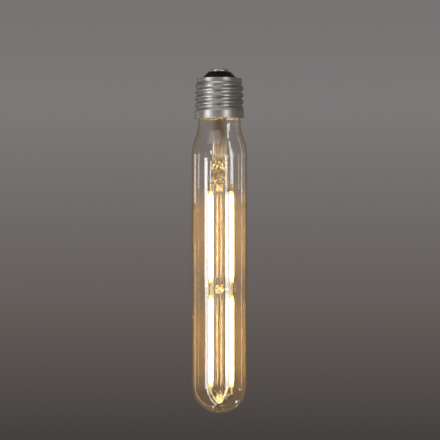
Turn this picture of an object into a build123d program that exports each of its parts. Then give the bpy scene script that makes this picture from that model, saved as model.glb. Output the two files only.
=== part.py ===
from build123d import *
import os
from math import acos, degrees

os.makedirs("parts", exist_ok=True)

# A tubular filament lamp that hangs by its screw cap.
# Millimetres, +Z up. The origin is the middle of the end contact's flat face,
# so the cap is on top and the glass hangs below it along -Z.

# Glass tube
overall_length = 185.0      # contact face to the tip of the dome
bulb_diameter = 30.0
glass_wall = 0.9
neck_insert = 8.0           # neck inside the cap, from the cap's rim to its open end
neck_below_rim = 1.5        # straight neck that shows below the cap
shoulder_height = 18.0      # height of the S-shaped shoulder below the neck

# Screw cap, with the coarse round thread of 7 turns to the inch
cap_height = 26.5           # contact face to the rim of the shell
thread_major = 26.2         # diameter over the crests
thread_depth = 0.95
thread_pitch = 25.4 / 7
root_land = 0.93            # flat left at the root between two turns
crest_land = 0.8            # flat on the crest
knee_share = 0.6            # height of the flank's knee, as a share of the depth
knee_bulge = 0.19           # how far the knee stands out from a straight flank
thread_start = 200.0        # angle from +X at which the ridge leaves the skirt, in degrees
shell_wall = 0.3
skirt_length = 4.2          # plain rim below the thread
skirt_swell = 0.15          # how far the skirt stands out beyond the crests
shell_step = 0.9            # height of the taper between the skirt and the thread
shell_drop = 5.0            # contact face down to the top of the shell
shoulder_drop = 2.2         # height of the sloping top of the shell
lip_diameter = 19.6         # hole in the top of the shell

# Insulator and end contact
insulator_flange = 2.4      # thickness of the flange under the shell's lip
insulator_top = 12.6        # diameter of the cone's small end
contact_diameter = 9.6
contact_height = 1.4
contact_edge = 0.5          # rounding of the contact's rim
pin_diameter = 3.4
pin_length = 9.0            # contact face to the end of the hollow pin
fit_gap = 0.1               # clearance of pieces that slide into each other

# Cement between the neck and the shell
cement_gap = 0.35           # thickness of the cement inside the thread
cement_recess = 0.6         # cement stops this far inside the shell's rim

# Stem: flared tube, flat press, exhaust tube
flare_rim = 1.2             # straight edge of the flare that is fused into the neck
flare_height = 8.0
tube_diameter = 8.0
tube_wall = 0.9
press_width = 8.9
press_depth = 4.4
press_length = 11.3
press_blend = 3.2           # height over which the round tube becomes the flat press
press_corner = 1.4
exhaust_diameter = 3.4
exhaust_wall = 0.7
exhaust_rise = 4.5          # how far the sealed tip stands above the neck's open end
exhaust_tip = 1.6           # height of the tip's taper
exhaust_hole = 2.6          # side hole in the press
exhaust_hole_rise = 5.9     # press foot up to the side hole

# Filament mount
filament_length = 49.2
filament_width = 2.2
filament_depth = 1.0
filament_end = 0.3          # bevel at the ends of the coat
strip_width = 1.2
strip_depth = 0.3
tab_length = 4.0            # bare strip beyond each end of the coat
left_reach = 4.6            # axis of the lamp to the left filaments
right_reach = 6.6
tab_lap = 0.6               # tab beyond the middle of its cross wire
tab_bare = 0.3              # tab left bare between a wire's end and the coat
press_gap = 0.35            # foot of the press to the upper tabs
foot_gap = 2.85             # lower tabs to the middle of the foot wire
tip_clearance = 4.4         # end of the rod to the inside of the dome
wire_diameter = 0.6
wire_bend = 0.7
wire_overhang = 0.5         # cross wire beyond the strip's edge
wire_seat = 0.8             # axis of the rod to the buried end of a cross wire

# Support rod
rod_diameter = 3.2
rod_seat = 3.0              # rod buried in the press
bead_diameter = 4.6
bead_height = 5.4
head_diameter = 4.2
head_height = 5.2
foot_bead_diameter = 4.2

# Driver in the cap
board_depth = 1.0
board_margin = 0.3          # corners of the board inside the outer edge of the neck's end
board_headroom = 1.8        # top of the board to the insulator
board_offset = 3.2          # axis of the lamp to the front of the board
capacitor_diameter = 6.3
capacitor_length = 5.8
can_edge = 0.4
package_depth = 1.3         # height of the moulded parts off the board
rectifier_width = 4.0
rectifier_height = 3.4
chip_width = 4.8
chip_height = 3.8
part_rise = 1.2             # foot of the board up to the parts and leads on its front
part_shift = 6.2            # middle of the board to the parts beside it
resistor_diameter = 2.2
resistor_length = 5.4
thin_wire = 0.5
lead_lean = 3.6             # height over which a lead leans from the stem to the board
joint_length = 2.0          # length of a lead that is soldered flat on the board

# Shared heights and radii
bulb_r = bulb_diameter / 2
crest_r = thread_major / 2
root_r = crest_r - thread_depth
bore_r = root_r - shell_wall
skirt_r = crest_r + skirt_swell
skirt_bore_r = skirt_r - shell_wall
lip_r = lip_diameter / 2
shell_top_r = (root_r + lip_r) / 2
neck_r = bore_r - cement_gap
neck_bore_r = neck_r - glass_wall
tube_r = tube_diameter / 2
tube_bore_r = tube_r - tube_wall
wire_r = wire_diameter / 2
rod_r = rod_diameter / 2
exhaust_r = exhaust_diameter / 2
exhaust_bore_r = exhaust_r - exhaust_wall
lead_spread = (exhaust_r + tube_bore_r) / 2

rim_z = -cap_height
skirt_z = rim_z + skirt_length
shell_z = -shell_drop
lip_z = shell_z - shell_wall
slope_z = shell_z - shoulder_drop
step_z = skirt_z + shell_step
insulator_z = lip_z - insulator_flange
neck_z = rim_z + neck_insert
shoulder_z = rim_z - neck_below_rim
tube_z = shoulder_z - shoulder_height
tip_z = -overall_length
dome_z = tip_z + bulb_r

# The mount is set out from the dome upwards, and the stem's tube takes up the rest.
rod_end_z = tip_z + glass_wall + tip_clearance
foot_z = rod_end_z + foot_bead_diameter / 2
lower_z = foot_z + foot_gap + tab_length
middle_z = lower_z + filament_length + tab_length - tab_lap
upper_z = middle_z + tab_length - tab_lap
upper_top_z = upper_z + filament_length
press_z = upper_top_z + tab_length + press_gap
press_top_z = press_z + press_length
flare_z = neck_z - flare_height
hole_z = press_z + exhaust_hole_rise
exhaust_z = hole_z + exhaust_hole / 2 + exhaust_wall
exhaust_top_z = neck_z + exhaust_rise
pin_blind_z = -(contact_height + pin_length) / 2

# A tab lies on one side of its wire in the upper tier and on the other side in the
# lower tier, so two tabs can lap over one cross wire.
strip_y = wire_r + strip_depth / 2
board_back = board_offset + board_depth
board_top_z = insulator_z - board_headroom
board_mid_z = (neck_z + board_top_z) / 2
solder_y = board_offset - wire_r


def turned(*lines):
    """Solid of revolution about Z from the lines of a half section in the XZ plane."""
    with BuildPart() as solid:
        with BuildSketch(Plane.XZ):
            with BuildLine():
                for line in lines:
                    add(line)
            make_face()
        revolve(axis=Axis.Z)
    return solid.part


def wire_along(points, diameter, bend):
    """Round wire along corner points, each corner bent to the same radius."""
    if len(points) > 2:
        path = FilletPolyline(*points, radius=bend)
    else:
        path = Line(*points)
    section = Plane(path @ 0, z_dir=path % 0) * Circle(diameter / 2)
    return sweep(section, path=path)


def s_curve(start, end):
    """Two equal arcs that leave the start and reach the end upright."""
    middle = ((start[0] + end[0]) / 2, (start[1] + end[1]) / 2)
    first = TangentArc(start, middle, tangent=(0, 1))
    second = TangentArc(middle, end, tangent=first % 1)
    return [first, second]


def make_envelope():
    inner_r = bulb_r - glass_wall
    outer_dome = CenterArc((0, dome_z), bulb_r, 270, 90)
    inner_dome = CenterArc((0, dome_z), inner_r, 270, 90)
    return turned(
        outer_dome,
        Line((bulb_r, dome_z), (bulb_r, tube_z)),
        *s_curve((bulb_r, tube_z), (neck_r, shoulder_z)),
        Polyline((neck_r, shoulder_z), (neck_r, neck_z), (neck_bore_r, neck_z), (neck_bore_r, shoulder_z)),
        *s_curve((inner_r, tube_z), (neck_bore_r, shoulder_z)),
        Line((inner_r, tube_z), (inner_r, dome_z)),
        inner_dome,
        Line((0, dome_z - inner_r), (0, tip_z)),
    )


def make_thread_ridge():
    """Right-hand ridge, sunk a little into the root so that it fuses cleanly."""
    sunk = shell_wall / 2
    half_foot = (thread_pitch - root_land) / 2
    half_land = crest_land / 2
    half_knee = half_foot + (half_land - half_foot) * knee_share + knee_bulge
    start_z = step_z - half_foot
    rise = slope_z + half_foot - start_z
    side = [
        (root_r - sunk, half_foot),
        (root_r + thread_depth * knee_share, half_knee),
        (crest_r, half_land),
    ]
    below = [(r, 0, start_z - z) for r, z in side]
    above = [(r, 0, start_z + z) for r, z in reversed(side)]
    section = make_face(Polyline(*below, *above, close=True))
    path = Helix(thread_pitch, rise, root_r, center=(0, 0, start_z))
    return Rot(0, 0, thread_start) * sweep(section, path=path, is_frenet=True)


def shell_form(rim_r, body_r, top):
    """Filled form of the shell: skirt, step, straight body, then the line of its top."""
    return turned(
        Polyline((0, rim_z), (rim_r, rim_z), (rim_r, skirt_z), (body_r, step_z), (body_r, slope_z)),
        top,
        Polyline(top @ 1, (0, (top @ 1).Y), (0, rim_z)),
    )


def make_screw_shell():
    rounded = TangentArc((root_r, slope_z), (shell_top_r, shell_z), tangent=(0, 1))
    tapered = Line((bore_r, slope_z), (shell_top_r - shell_wall, lip_z))
    outside = shell_form(skirt_r, root_r, rounded)
    inside = shell_form(skirt_bore_r, bore_r, tapered)
    # A cone just below the rounded top trims the ridge to a run-out.
    reach = crest_r + thread_pitch
    slope = (slope_z - shell_z) / (root_r - shell_top_r)
    cone_z = shell_z - thread_depth / 2
    trim = turned(
        Polyline(
            (shell_top_r, cone_z),
            (reach, cone_z + slope * (reach - shell_top_r)),
            (reach, shell_z + thread_pitch),
            (shell_top_r, shell_z + thread_pitch),
            close=True,
        )
    )
    mouth = Pos(0, 0, shell_z) * Cylinder(lip_r, 2 * thread_pitch)
    return outside + (make_thread_ridge() - trim) - inside - mouth


def make_insulator():
    flange_r = shell_top_r - shell_wall - fit_gap
    hole_r = pin_diameter / 2 + fit_gap
    neck_of_cone = lip_r - fit_gap
    return turned(
        Polyline(
            (hole_r, insulator_z),
            (flange_r, insulator_z),
            (flange_r, lip_z),
            (neck_of_cone, lip_z),
            (neck_of_cone, shell_z),
            (insulator_top / 2, -contact_height),
            (hole_r, -contact_height),
            close=True,
        )
    )


def make_contact():
    head_r = contact_diameter / 2
    pin_r = pin_diameter / 2
    pin_bore_r = thin_wire / 2 + fit_gap
    return turned(
        Line((0, pin_blind_z), (0, 0)),
        Line((0, 0), (head_r - contact_edge, 0)),
        CenterArc((head_r - contact_edge, -contact_edge), contact_edge, 0, 90),
        Polyline(
            (head_r, -contact_edge),
            (head_r, -contact_height),
            (pin_r, -contact_height),
            (pin_r, -pin_length),
            (pin_bore_r, -pin_length),
            (pin_bore_r, pin_blind_z),
            (0, pin_blind_z),
        ),
    )


def make_cement():
    low_z = rim_z + cement_recess
    return turned(
        Polyline(
            (neck_r, low_z),
            (skirt_bore_r, low_z),
            (skirt_bore_r, skirt_z),
            (bore_r, step_z),
            (bore_r, neck_z),
            (neck_r, neck_z),
            close=True,
        )
    )


def make_lead(side, reach):
    """From the board down the flare tube, through the press and out to an upper tab."""
    x = side * lead_spread
    tab_x = side * reach
    board_z = neck_z + part_rise
    leg_z = press_z - tab_length / 2
    points = [
        (x, solder_y, board_z + joint_length),
        (x, solder_y, board_z),
        (x, 0, board_z - lead_lean),
        (x, 0, press_z - wire_bend),
        (tab_x, 0, leg_z),
        (tab_x, 0, upper_top_z + tab_bare),
    ]
    return wire_along(points, wire_diameter, wire_bend)


def make_mid_wire(side, reach):
    end = side * (reach + strip_width / 2 + wire_overhang)
    return wire_along([(side * wire_seat, 0, middle_z), (end, 0, middle_z)], wire_diameter, wire_bend)


def make_foot_wire():
    """One V-shaped wire through the foot bead joins the two lower filaments."""
    top_z = lower_z - tab_bare
    leg_z = lower_z - tab_length + wire_bend
    turn_x = foot_bead_diameter / 4
    points = [
        (-left_reach, 0, top_z),
        (-left_reach, 0, leg_z),
        (-turn_x, 0, foot_z),
        (turn_x, 0, foot_z),
        (right_reach, 0, leg_z),
        (right_reach, 0, top_z),
    ]
    return wire_along(points, wire_diameter, wire_bend)


def bead(diameter, height, z):
    """Outline of a drop of glass around the rod, from its lower to its upper end."""
    half = height / 2
    return ThreePointArc((rod_r, z - half), (diameter / 2, z), (rod_r, z + half))


def make_rod(wires):
    """Drawn rod with three beads: the foot ball, the middle bead and the head at the press."""
    top_z = press_z + rod_seat
    foot_r = foot_bead_diameter / 2
    ball_angle = degrees(acos(rod_r / foot_r))
    ball = CenterArc((0, foot_z), foot_r, 270, 90 + ball_angle)
    middle = bead(bead_diameter, bead_height, middle_z)
    head = bead(head_diameter, head_height, press_z - head_height / 2)
    rod = turned(
        ball,
        Line(ball @ 1, middle @ 0),
        middle,
        Line(middle @ 1, head @ 0),
        head,
        Polyline(head @ 1, (rod_r, top_z), (0, top_z), (0, foot_z - foot_r)),
    )
    return rod - wires


def make_exhaust_tube():
    """Open at the side hole in the press, drawn to a sealed tip in the cap."""
    return turned(
        Polyline(
            (exhaust_bore_r, exhaust_z),
            (exhaust_r, exhaust_z),
            (exhaust_r, exhaust_top_z - exhaust_tip),
            (exhaust_bore_r / 2, exhaust_top_z),
            (0, exhaust_top_z),
            (0, exhaust_top_z - exhaust_tip),
            (exhaust_bore_r, exhaust_top_z - 2 * exhaust_tip),
            close=True,
        )
    )


def make_stem(inserts):
    """Flare and tube turned in one, then pinched to the flat press around its inserts."""
    blend_z = press_top_z + press_blend
    flare = turned(
        Polyline(
            (tube_bore_r, blend_z),
            (tube_r, blend_z),
            (tube_r, flare_z),
            (neck_bore_r, neck_z - flare_rim),
            (neck_bore_r, neck_z),
            (neck_bore_r - tube_wall, neck_z),
            (tube_bore_r, flare_z),
            close=True,
        )
    )
    flat = RectangleRounded(press_width, press_depth, press_corner)
    press = extrude(Pos(0, 0, press_z) * flat, press_length)
    pinch = loft([Pos(0, 0, press_top_z) * flat, Pos(0, 0, blend_z) * Circle(tube_r)])
    bore = Pos(0, 0, hole_z) * Cylinder(exhaust_bore_r, 2 * (exhaust_z - hole_z))
    front = Plane((0, 0, hole_z), z_dir=(0, -1, 0)) * Circle(exhaust_hole / 2)
    side_hole = extrude(front, press_depth)
    stem = flare + pinch + press - bore - side_hole
    for insert in inserts:
        stem -= insert
    return stem


def make_strip(side, reach, low_z, y):
    size = filament_length + 2 * tab_length
    return Pos(side * reach, y, low_z + filament_length / 2) * Box(strip_width, strip_depth, size)


def make_coat(side, reach, low_z, y):
    section = SlotOverall(filament_width, filament_depth)
    coat = extrude(Pos(side * reach, y, low_z) * section, filament_length)
    ends = coat.faces().filter_by(Axis.Z).edges()
    coat = chamfer(ends, filament_end)
    return coat - make_strip(side, reach, low_z, y)


def make_board():
    """Stands on the open end of the neck, with its corners just inside the neck's edge."""
    width = 2 * ((neck_r - board_margin) ** 2 - board_back**2) ** 0.5
    y = board_offset + board_depth / 2
    return Pos(0, y, board_mid_z) * Box(width, board_depth, board_top_z - neck_z)


def make_package(width, height, x):
    """Moulded part with its back on the front of the board."""
    y = board_offset - package_depth / 2
    return Pos(x, y, neck_z + part_rise + height / 2) * Box(width, package_depth, height)


def make_capacitor():
    base = Plane((0, board_back, board_mid_z), z_dir=(0, 1, 0)) * Circle(capacitor_diameter / 2)
    can = extrude(base, capacitor_length)
    return chamfer(can.faces().sort_by(Axis.Y)[-1].edges(), can_edge)


def make_resistor():
    """Lies upright on the back of the board, beside the capacitor."""
    r = resistor_diameter / 2
    return Pos(part_shift, board_back + r, board_mid_z) * Cylinder(r, resistor_length)


def make_contact_lead():
    y = board_offset - thin_wire / 2
    down_z = -pin_length - thin_wire
    board_z = down_z - y / 2
    points = [(0, 0, pin_blind_z), (0, 0, down_z), (0, y, board_z), (0, y, board_z - joint_length / 2)]
    return wire_along(points, thin_wire, thin_wire)


def make_shell_lead():
    """Springs from the back of the board against the inside of the shell."""
    y = board_back + thin_wire / 2
    end_x = (bore_r**2 - (board_back + thin_wire) ** 2) ** 0.5
    start_x = end_x - 2 * joint_length
    return wire_along([(-start_x, y, board_mid_z), (-end_x, y, board_mid_z)], thin_wire, thin_wire)


sides = {"left": (-1, left_reach), "right": (1, right_reach)}
tiers = {"upper": (upper_z, -strip_y), "lower": (lower_z, strip_y)}

leads = {name: make_lead(*place) for name, place in sides.items()}
mid_wires = {name: make_mid_wire(*place) for name, place in sides.items()}
foot_wire = make_foot_wire()
rod = make_rod([*mid_wires.values(), foot_wire])
exhaust = make_exhaust_tube()
exhaust_bar = Pos(0, 0, (exhaust_z + neck_z) / 2) * Cylinder(exhaust_r, neck_z - exhaust_z)

nodes = {
    "glass_envelope": make_envelope(),
    "stem": make_stem([exhaust_bar, rod, *leads.values()]),
    "exhaust_tube": exhaust,
    "support_rod": rod,
    "foot_wire": foot_wire,
    "screw_shell": make_screw_shell(),
    "cap_insulator": make_insulator(),
    "centre_contact": make_contact(),
    "cap_cement": make_cement(),
    "driver_board": make_board(),
    "smoothing_capacitor": make_capacitor(),
    "bridge_rectifier": make_package(rectifier_width, rectifier_height, part_shift),
    "driver_chip": make_package(chip_width, chip_height, -part_shift),
    "fuse_resistor": make_resistor(),
    "contact_lead": make_contact_lead(),
    "shell_lead": make_shell_lead(),
}
for name, place in sides.items():
    nodes["lead_wire_" + name] = leads[name]
    nodes["mid_wire_" + name] = mid_wires[name]
    for tier, (low_z, y) in tiers.items():
        nodes["filament_" + tier + "_" + name] = make_coat(*place, low_z, y)
        nodes["strip_" + tier + "_" + name] = make_strip(*place, low_z, y)

for name, shape in nodes.items():
    export_step(shape, "parts/" + name + ".step")
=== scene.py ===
import bpy
import numpy as np
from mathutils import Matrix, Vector


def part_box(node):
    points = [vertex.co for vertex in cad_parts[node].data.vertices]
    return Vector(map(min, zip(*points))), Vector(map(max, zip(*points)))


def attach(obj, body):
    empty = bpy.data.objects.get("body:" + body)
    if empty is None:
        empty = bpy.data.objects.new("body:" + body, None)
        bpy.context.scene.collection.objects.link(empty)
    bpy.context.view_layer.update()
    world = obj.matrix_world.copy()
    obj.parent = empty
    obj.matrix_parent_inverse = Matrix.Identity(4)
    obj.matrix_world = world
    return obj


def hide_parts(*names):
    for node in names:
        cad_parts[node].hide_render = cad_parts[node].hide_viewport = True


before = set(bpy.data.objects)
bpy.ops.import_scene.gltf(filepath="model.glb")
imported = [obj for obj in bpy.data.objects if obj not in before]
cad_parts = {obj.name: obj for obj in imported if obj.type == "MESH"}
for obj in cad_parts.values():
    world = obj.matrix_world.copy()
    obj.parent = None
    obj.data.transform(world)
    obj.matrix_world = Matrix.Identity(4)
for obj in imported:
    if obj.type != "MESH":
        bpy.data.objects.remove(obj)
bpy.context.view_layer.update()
mm = 0.001          # every size below is in millimetres, the frame is in metres
turn = 2 * np.pi
print("frame loaded:", len(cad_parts), "nodes")


# Small tools for colours, nodes and meshes

def linear(hexColour):
    # sRGB hex to the linear colour that the sockets take
    parts = np.array([int(hexColour[i:i + 2], 16) for i in (1, 3, 5)]) / 255
    bent = ((parts + 0.055) / 1.055) ** 2.4
    return (*np.where(parts <= 0.04045, parts / 12.92, bent).tolist(), 1.0)


def addNode(tree, kind, inputs=(), **settings):
    # one node: settings are its own options, inputs are values or sockets to link from
    node = tree.nodes.new("ShaderNode" + kind)
    for name, value in settings.items():
        setattr(node, name, value)
    for socket, value in dict(inputs).items():
        if isinstance(value, bpy.types.NodeSocket):
            tree.links.new(value, node.inputs[socket])
        else:
            node.inputs[socket].default_value = value
    return node


def newMaterial(name):
    # a material with an empty node tree
    material = bpy.data.materials.new(name)
    material.use_nodes = True
    material.node_tree.nodes.clear()
    return material, material.node_tree


def addStops(ramp, stops):
    # colour ramp stops from {place: hex}
    band = ramp.color_ramp
    while len(band.elements) < len(stops):
        band.elements.new(0.5)
    for element, (place, colour) in zip(band.elements, stops.items()):
        element.position = place
        element.color = linear(colour)


def perMm(size):
    # texture scale for marks of this size in millimetres
    return 1 / (size * mm)


def nodeBox(node):
    # lowest and highest corner of a CAD node, in millimetres
    low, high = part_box(node)
    return np.array(low) / mm, np.array(high) / mm


def roundAngles(columns):
    # even angles for one turn; the last column meets the first
    return np.arange(columns) * turn / columns


def arcRun(centre, radius, start, end, count):
    # points on an arc in the half section, angles in degrees from the +r axis
    angle = np.radians(np.linspace(start, end, count))
    return np.stack([centre[0] + radius * np.cos(angle), centre[1] + radius * np.sin(angle)], 1)


def straightRun(start, end, count):
    # even points on a line: start * (1 - share) + end * share
    share = np.linspace(0, 1, count)[:, None]
    return np.array(start) * (1 - share) + np.array(end) * share


def swayRun(start, end, count):
    # two equal arcs, upright at both ends; arc radius = (step^2 + half height^2) / (2 * step)
    step = (end[0] - start[0]) / 2
    half = (end[1] - start[1]) / 2
    radius = (step ** 2 + half ** 2) / (2 * abs(step))
    height = np.linspace(0, half, count)
    bulge = np.sign(step) * (radius - np.sqrt(radius ** 2 - height ** 2))
    first = np.stack([start[0] + bulge, start[1] + height], 1)
    second = np.stack([end[0] - bulge, end[1] - height], 1)[::-1]
    return np.vstack([first, second[1:]])


def joinRuns(*runs):
    # one outline from several runs, without the doubled points where they meet
    points = np.vstack(runs)
    step = np.linalg.norm(np.diff(points, axis=0), axis=1)
    return points[np.append(True, step > 1e-6)]


def softStep(x, low, high):
    # 0 below low, 1 above high, between them the smooth cubic 3 s^2 - 2 s^3
    share = np.clip((x - low) / (high - low), 0, 1)
    return share * share * (3 - 2 * share)


def softMax(a, b, blend):
    # the larger of two, rounded where they meet: half of a + b + sqrt((a - b)^2 + blend^2)
    return 0.5 * (a + b + np.sqrt((a - b) ** 2 + blend ** 2))


def spun(outline, columns):
    # surface of revolution: x = r cos a, y = r sin a, z from the outline
    angle = roundAngles(columns)
    r = outline[:, :1]
    z = np.broadcast_to(outline[:, 1:], (len(outline), columns))
    return np.stack([r * np.cos(angle), r * np.sin(angle), z], 2)


def carried(path, section, scale):
    # section (x, y) carried along the path, across = along x Y axis, up = across x along
    along = np.gradient(path, axis=0)
    along /= np.linalg.norm(along, axis=1, keepdims=True)
    across = np.cross(along, (0, 1, 0))
    across /= np.linalg.norm(across, axis=1, keepdims=True)
    upward = np.cross(across, along)
    sized = section[None] * scale[:, None, None]
    return path[:, None] + sized[..., :1] * across[:, None] + sized[..., 1:] * upward[:, None]


def makePiece(name, nodes, slotName, points, materials, closed=False, pick=None, **marks):
    # grid of points to a closed mesh: columns wrap round, rows wrap too or stop at a small last ring that a
    # point closes at each end; pick gives each row its material, marks are values at the points for materials
    rows, columns = points.shape[:2]
    row = np.arange(rows if closed else rows - 1)[:, None]
    column = np.arange(columns)[None]
    beside = (column + 1) % columns
    above = (row + 1) % rows
    here, there = row * columns, above * columns
    quads = np.stack([here + column, here + beside, there + beside, there + column], 2).reshape(-1, 4)
    verts = points.reshape(-1, 3)
    fans = np.empty((0, 3), int)
    if not closed:
        verts = np.vstack([verts, points[0].mean(0), points[-1].mean(0)])
        ring = np.arange(columns)
        following = (ring + 1) % columns
        top = (rows - 1) * columns
        first = np.stack([np.full(columns, rows * columns), following, ring], 1)
        last = np.stack([np.full(columns, rows * columns + 1), top + ring, top + following], 1)
        fans = np.vstack([first, last])
    triangles = np.vstack([quads[:, :3], quads[:, [0, 2, 3]], fans])
    a, b, c = (verts[triangles[:, i]] for i in range(3))
    if np.einsum("ij,ij->", a, np.cross(b, c)) < 0:          # volume below zero: the faces point inwards
        quads = quads[:, ::-1]
        fans = fans[:, ::-1]
    mesh = bpy.data.meshes.new(name)
    mesh.from_pydata((verts * mm).tolist(), [], quads.tolist() + fans.tolist())
    mesh.shade_smooth()
    for material in materials:
        mesh.materials.append(material)
    if pick is not None:
        chosen = np.zeros(len(mesh.polygons), np.int32)
        chosen[:len(quads)] = np.repeat(pick[:len(row)], columns)
        chosen[len(quads) + columns:] = pick[-1]
        mesh.polygons.foreach_set("material_index", chosen)
    for mark, values in marks.items():
        values = np.append(values, [values[0].mean(), values[-1].mean()])
        mesh.attributes.new(mark, "FLOAT", "POINT").data.foreach_set("value", values.astype(np.float32))
    piece = bpy.data.objects.new(name, mesh)
    bpy.context.scene.collection.objects.link(piece)
    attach(piece, "root")
    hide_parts(*nodes)


# Glass

tubeGlass = {"tint": "#ffffff", "ior": 1.52, "waveSize": 9, "waveDepth": 0.005, "drawn": 4,
             "haze": 0.0105, "hazeTint": "#ffc95a", "wallTint": "#cdae44", "wallDensity": 66.0}
# lead glass drawn to rod and tube: straight bright lines, gold where the filaments stand close, and a faint
# painted glow where crest is set
rodGlass = {"tint": "#ebe5dc", "ior": 1.56, "waveSize": 4, "waveDepth": 0.0008, "drawn": 8,
            "haze": 0.027, "hazeTint": "#ffdc7c", "glow": 1.0, "paintedGlowTint": "#ffe2c2"}
# the same glass softened in the flame and pinched: lumpy, with a painted glow along the crests of its folds
pressGlass = {"tint": "#fbf6e8", "ior": 1.56, "waveSize": 1.2, "waveDepth": 0.12, "drawn": 1,
              "haze": 0.07, "hazeTint": "#ffcd70", "glow": 0.95, "paintedGlowTint": "#ffe9a2"}


def glassShader(tree, look, **film):
    # clear glass: waves, longer along the drawing, and lamps shine straight through its walls
    place = addNode(tree, "TexCoord")
    stretched = addNode(tree, "Mapping", {0: place.outputs["Object"], "Scale": (1, 1, 1 / look["drawn"])})
    waves = addNode(tree, "TexNoise", {
        "Vector": stretched.outputs[0], "Scale": perMm(look["waveSize"]), "Detail": 1.0,
    })
    bump = addNode(tree, "Bump", {"Height": waves.outputs[0], "Strength": 1.0, "Distance": look["waveDepth"] * mm})
    glass = addNode(tree, "BsdfPrincipled", {
        "Base Color": linear(look["tint"]), "Roughness": 0.0, "IOR": look["ior"], "Transmission Weight": 1.0,
        "Normal": bump.outputs[0], "Sheen Roughness": 1.0, "Sheen Tint": linear(look["hazeTint"]), **film,
    })
    path = addNode(tree, "LightPath")
    passing = addNode(tree, "Math", {0: path.outputs["Is Shadow Ray"], 1: path.outputs["Is Diffuse Ray"]},
                      operation="MAXIMUM")
    clear = addNode(tree, "BsdfTransparent", {"Color": linear(look["tint"])})
    mix = addNode(tree, "MixShader", {0: passing.outputs[0], 1: glass.outputs[0], 2: clear.outputs[0]})
    return glass, addNode(tree, "OutputMaterial", {"Surface": mix.outputs[0]})


def drawnGlass(look):
    # soda-lime tube, drawn and blown: crisp reflections that wander a little along the tube, a warm edge where
    # the eye looks along the wall, and inside it the thinnest haze, which glows amber where the filaments light it
    material, tree = newMaterial("drawn soda-lime glass")
    glass, output = glassShader(tree, look)
    inside = addNode(tree, "Attribute", attribute_name="inside")
    haze = addNode(tree, "MapRange", {0: inside.outputs["Fac"], 4: look["haze"]})
    tree.links.new(haze.outputs[0], glass.inputs["Sheen Weight"])
    warmth = addNode(tree, "VolumeAbsorption", {"Color": linear(look["wallTint"]), "Density": look["wallDensity"]})
    tree.links.new(warmth.outputs[0], output.inputs["Volume"])
    return material


def mountGlass(name, look):
    # lead glass with a painted glow: an emission, where crest is high, stands in for light from the filaments that
    # has run along inside it and leaves again
    material, tree = newMaterial(name)
    material.cycles.emission_sampling = "NONE"          # too faint to light anything else
    glass = glassShader(tree, look, **{
        "Sheen Weight": look["haze"], "Emission Color": linear(look["paintedGlowTint"]),
    })[0]
    crest = addNode(tree, "Attribute", attribute_name="crest")
    glow = addNode(tree, "MapRange", {0: crest.outputs["Fac"], 4: look["glow"]})
    tree.links.new(glow.outputs[0], glass.inputs["Emission Strength"])
    return material


# Metals and moulded surfaces

def metalShader(tree, stops, roughness, stretch, markSize, markDepth):
    # bare metal: fine marks along one direction shift its tone, its gloss and its surface; real marks are
    # hundredths of a millimetre apart, so markSize draws them coarser, or they would not show
    place = addNode(tree, "TexCoord")
    turned = addNode(tree, "Mapping", {0: place.outputs["Object"], "Scale": stretch})
    marks = addNode(tree, "TexNoise", {"Vector": turned.outputs[0], "Scale": perMm(markSize), "Detail": 4.0})
    ramp = addNode(tree, "ValToRGB", {0: marks.outputs[0]})
    addStops(ramp, stops)
    gloss = addNode(tree, "MapRange", {0: marks.outputs[0], 1: 0.3, 2: 0.7, 3: roughness[0], 4: roughness[1]})
    bump = addNode(tree, "Bump", {"Height": marks.outputs[0], "Distance": markDepth * mm})
    metal = addNode(tree, "BsdfPrincipled", {
        "Base Color": ramp.outputs[0], "Metallic": 1.0, "Roughness": gloss.outputs[0], "Normal": bump.outputs[0],
    })
    addNode(tree, "OutputMaterial", {"Surface": metal.outputs[0]})
    return ramp, metal


def platedStrip():
    # rolled strip with a thin gold-coloured plating: faint lines along its length
    material, tree = newMaterial("plated carrier strip")
    metalShader(tree, {0.3: "#b9a25e", 0.7: "#dfca8c"}, roughness=(0.25, 0.4), stretch=(1, 1, 0.05),
                markSize=0.3, markDepth=0.01)
    return material


def nickelWire(sealLow, sealHigh):
    # drawn nickel, with the copper-red sealing stretch where the wire passes through the press
    material, tree = newMaterial("drawn nickel wire")
    ramp, metal = metalShader(tree, {0.3: "#a69f94", 0.7: "#cfc8bc"}, roughness=(0.2, 0.35), stretch=(1, 1, 0.1),
                              markSize=0.3, markDepth=0.01)
    place = addNode(tree, "TexCoord")
    parts = addNode(tree, "SeparateXYZ", {0: place.outputs["Object"]})
    above = addNode(tree, "Math", {0: parts.outputs["Z"], 1: sealLow * mm}, operation="GREATER_THAN")
    below = addNode(tree, "Math", {0: parts.outputs["Z"], 1: sealHigh * mm}, operation="LESS_THAN")
    sealed = addNode(tree, "Math", {0: above.outputs[0], 1: below.outputs[0]}, operation="MULTIPLY")
    colour = addNode(tree, "Mix", {0: sealed.outputs[0], 6: ramp.outputs[0], 7: linear("#a9805f")},
                     data_type="RGBA")
    tree.links.new(colour.outputs[2], metal.inputs["Base Color"])
    return material


def tinnedLead():
    # tinned copper: dull grey with a warm cast, faint lines along its length
    material, tree = newMaterial("tinned copper lead")
    metalShader(tree, {0.3: "#b0a696", 0.7: "#cfc6b7"}, roughness=(0.25, 0.4), stretch=(1, 1, 0.2),
                markSize=0.3, markDepth=0.01)
    return material


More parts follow.
